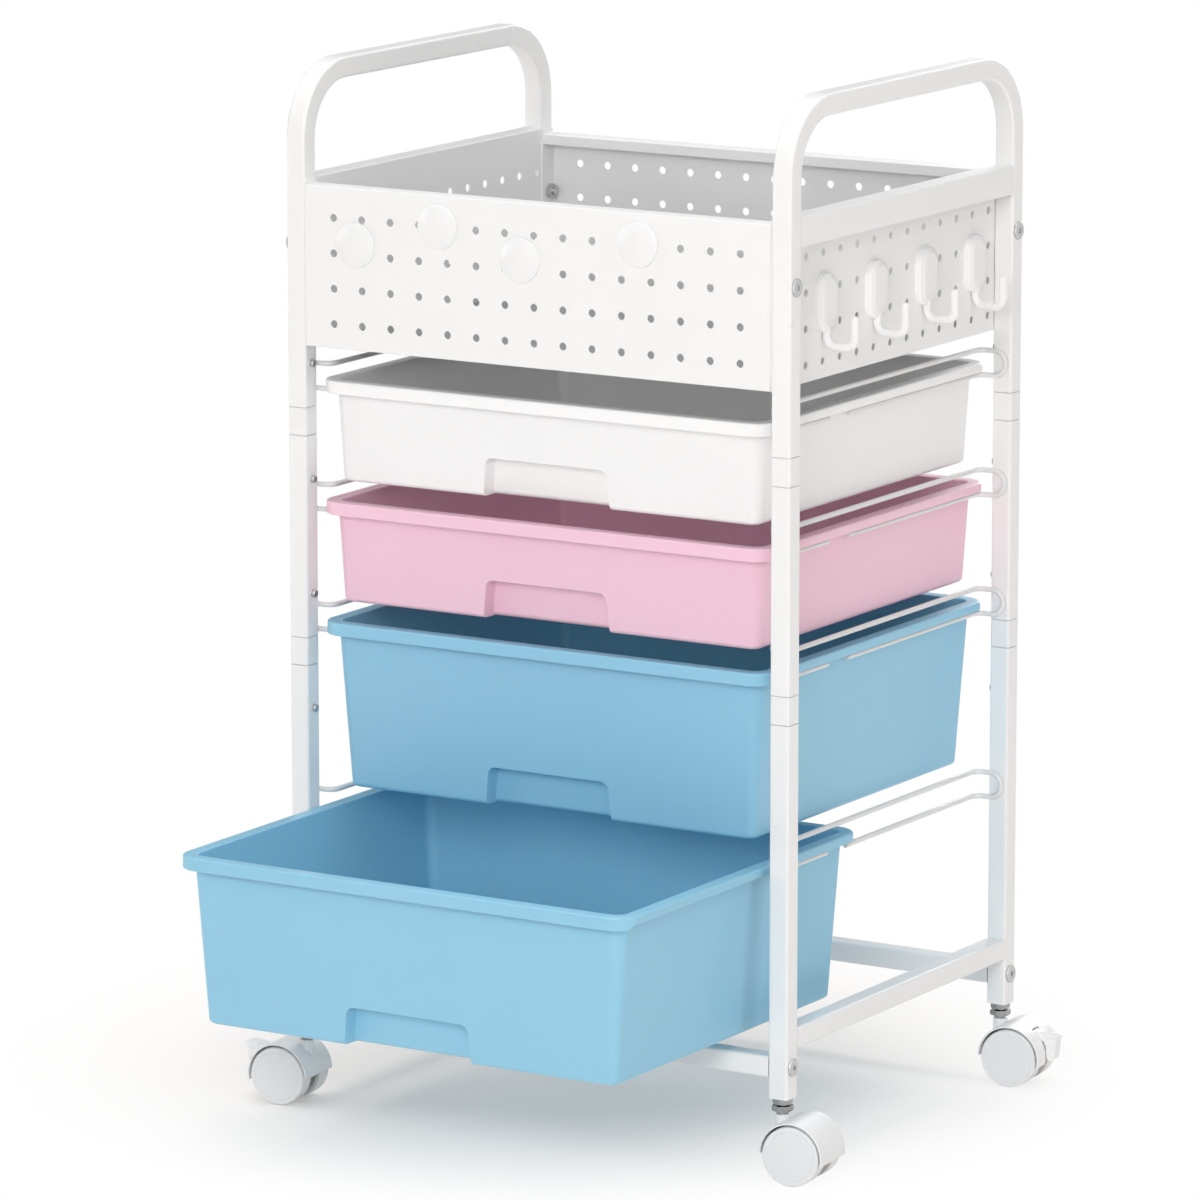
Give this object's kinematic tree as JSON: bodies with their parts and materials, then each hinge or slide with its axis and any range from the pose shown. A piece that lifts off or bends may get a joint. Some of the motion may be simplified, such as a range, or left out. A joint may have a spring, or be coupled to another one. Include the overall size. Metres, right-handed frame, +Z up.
{
  "type": "rolling drawer cart",
  "caption": "Square-tube rolling cart with sliding plastic drawers, a perforated top tray, end handles and swivel casters.",
  "frame": {"origin": "on the floor, under the middle of the bounding box at rest", "axes": "+Z up, +Y to the back, so the drawers open towards -Y; +X to the right"},
  "size_m": [0.5256, 0.5572, 0.796],
  "materials": {
    "white_powder_coat": "smooth white powder coat",
    "white_plastic": "satin white",
    "pink_plastic": "satin pink",
    "blue_plastic": "satin light blue",
    "bright_steel": "plated, bright",
    "wheel_plastic": "satin pale grey",
    "inner_plastic": "plain"
  },
  "bodies": {
    "frame": {"caster_sockets": "inner_plastic", "caster_stems": "bright_steel", "collar_screws": "bright_steel", "crossbar_inserts": "inner_plastic", "frame_bolts": "bright_steel", "front_crossbar": "white_powder_coat", "front_left_lower_post": "white_powder_coat", "front_left_middle_post": "white_powder_coat", "front_right_lower_post": "white_powder_coat", "front_right_middle_post": "white_powder_coat", "front_wall": "white_powder_coat", "left_base_rail": "white_powder_coat", "left_handle": "white_powder_coat", "left_wall": "white_powder_coat", "lower_blue_left_rail": "white_powder_coat", "lower_blue_right_rail": "white_powder_coat", "lower_collars": "white_plastic", "magnets": "white_plastic", "pink_left_rail": "white_powder_coat", "pink_right_rail": "white_powder_coat", "rear_crossbar": "white_powder_coat", "rear_left_lower_post": "white_powder_coat", "rear_left_middle_post": "white_powder_coat", "rear_right_lower_post": "white_powder_coat", "rear_right_middle_post": "white_powder_coat", "rear_wall": "white_powder_coat", "right_base_rail": "white_powder_coat", "right_handle": "white_powder_coat", "right_wall": "white_powder_coat", "stem_locknuts": "bright_steel", "tray_floor": "white_powder_coat", "upper_blue_left_rail": "white_powder_coat", "upper_blue_right_rail": "white_powder_coat", "upper_collars": "white_plastic", "wall_hooks": "white_plastic", "wall_nuts": "bright_steel", "white_left_rail": "white_powder_coat", "white_right_rail": "white_powder_coat"},
    "lower_blue_drawer": {"lower_blue_drawer": "blue_plastic"},
    "upper_blue_drawer": {"upper_blue_drawer": "blue_plastic"},
    "pink_drawer": {"pink_drawer": "pink_plastic"},
    "white_drawer": {"white_drawer": "white_plastic"},
    "front_left_caster": {"front_left_caster_hood": "white_plastic", "front_left_axle": "bright_steel"},
    "front_left_wheel_a": {"front_left_wheel_a": "wheel_plastic"},
    "front_left_wheel_b": {"front_left_wheel_b": "wheel_plastic"},
    "front_left_brake_lever": {"front_left_brake_lever": "white_plastic"},
    "front_right_caster": {"front_right_caster_hood": "white_plastic", "front_right_axle": "bright_steel"},
    "front_right_wheel_a": {"front_right_wheel_a": "wheel_plastic"},
    "front_right_wheel_b": {"front_right_wheel_b": "wheel_plastic"},
    "rear_left_caster": {"rear_left_caster_hood": "white_plastic", "rear_left_axle": "bright_steel"},
    "rear_left_wheel_a": {"rear_left_wheel_a": "wheel_plastic"},
    "rear_left_wheel_b": {"rear_left_wheel_b": "wheel_plastic"},
    "rear_right_caster": {"rear_right_caster_hood": "white_plastic", "rear_right_axle": "bright_steel"},
    "rear_right_wheel_a": {"rear_right_wheel_a": "wheel_plastic"},
    "rear_right_wheel_b": {"rear_right_wheel_b": "wheel_plastic"},
    "rear_right_brake_lever": {"rear_right_brake_lever": "white_plastic"}
  },
  "joints": [
    {"name": "lower_blue_drawer_slide", "type": "slide", "parent": "frame", "child": "lower_blue_drawer", "axis": [0, -1, 0], "range_m": [-0.194, 0.046]},
    {"name": "upper_blue_drawer_slide", "type": "slide", "parent": "frame", "child": "upper_blue_drawer", "axis": [0, -1, 0], "range_m": [0, 0.24]},
    {"name": "pink_drawer_slide", "type": "slide", "parent": "frame", "child": "pink_drawer", "axis": [0, -1, 0], "range_m": [0, 0.24]},
    {"name": "white_drawer_slide", "type": "slide", "parent": "frame", "child": "white_drawer", "axis": [0, -1, 0], "range_m": [0, 0.24]},
    {"name": "front_left_swivel", "type": "hinge", "parent": "frame", "child": "front_left_caster", "pos_m": [-0.209, -0.08062, 0.045], "axis": [0, 0, 1], "continuous": true},
    {"name": "front_left_wheel_a_spin", "type": "hinge", "parent": "front_left_caster", "child": "front_left_wheel_a", "pos_m": [-0.22443, -0.08211, 0.0225], "axis": [0.0958, -0.9954, 0], "continuous": true},
    {"name": "front_left_wheel_b_spin", "type": "hinge", "parent": "front_left_caster", "child": "front_left_wheel_b", "pos_m": [-0.22443, -0.08211, 0.0225], "axis": [0.0958, -0.9954, 0], "continuous": true},
    {"name": "front_left_brake", "type": "hinge", "parent": "front_left_caster", "child": "front_left_brake_lever", "pos_m": [-0.23787, -0.0834, 0.035], "axis": [0.0958, -0.9954, 0], "range_deg": [0, 12]},
    {"name": "front_right_swivel", "type": "hinge", "parent": "frame", "child": "front_right_caster", "pos_m": [0.209, -0.08062, 0.045], "axis": [0, 0, 1], "continuous": true},
    {"name": "front_right_wheel_a_spin", "type": "hinge", "parent": "front_right_caster", "child": "front_right_wheel_a", "pos_m": [0.22443, -0.07914, 0.0225], "axis": [-0.0958, 0.9954, 0], "continuous": true},
    {"name": "front_right_wheel_b_spin", "type": "hinge", "parent": "front_right_caster", "child": "front_right_wheel_b", "pos_m": [0.22443, -0.07914, 0.0225], "axis": [-0.0958, 0.9954, 0], "continuous": true},
    {"name": "rear_left_swivel", "type": "hinge", "parent": "frame", "child": "rear_left_caster", "pos_m": [-0.209, 0.25338, 0.045], "axis": [0, 0, 1], "continuous": true},
    {"name": "rear_left_wheel_a_spin", "type": "hinge", "parent": "rear_left_caster", "child": "rear_left_wheel_a", "pos_m": [-0.22443, 0.25189, 0.0225], "axis": [0.0958, -0.9954, 0], "continuous": true},
    {"name": "rear_left_wheel_b_spin", "type": "hinge", "parent": "rear_left_caster", "child": "rear_left_wheel_b", "pos_m": [-0.22443, 0.25189, 0.0225], "axis": [0.0958, -0.9954, 0], "continuous": true},
    {"name": "rear_right_swivel", "type": "hinge", "parent": "frame", "child": "rear_right_caster", "pos_m": [0.209, 0.25338, 0.045], "axis": [0, 0, 1], "continuous": true},
    {"name": "rear_right_wheel_a_spin", "type": "hinge", "parent": "rear_right_caster", "child": "rear_right_wheel_a", "pos_m": [0.22443, 0.25486, 0.0225], "axis": [-0.0958, 0.9954, 0], "continuous": true},
    {"name": "rear_right_wheel_b_spin", "type": "hinge", "parent": "rear_right_caster", "child": "rear_right_wheel_b", "pos_m": [0.22443, 0.25486, 0.0225], "axis": [-0.0958, 0.9954, 0], "continuous": true},
    {"name": "rear_right_brake", "type": "hinge", "parent": "rear_right_caster", "child": "rear_right_brake_lever", "pos_m": [0.23787, 0.25616, 0.035], "axis": [-0.0958, 0.9954, 0], "range_deg": [0, 12]}
  ]
}
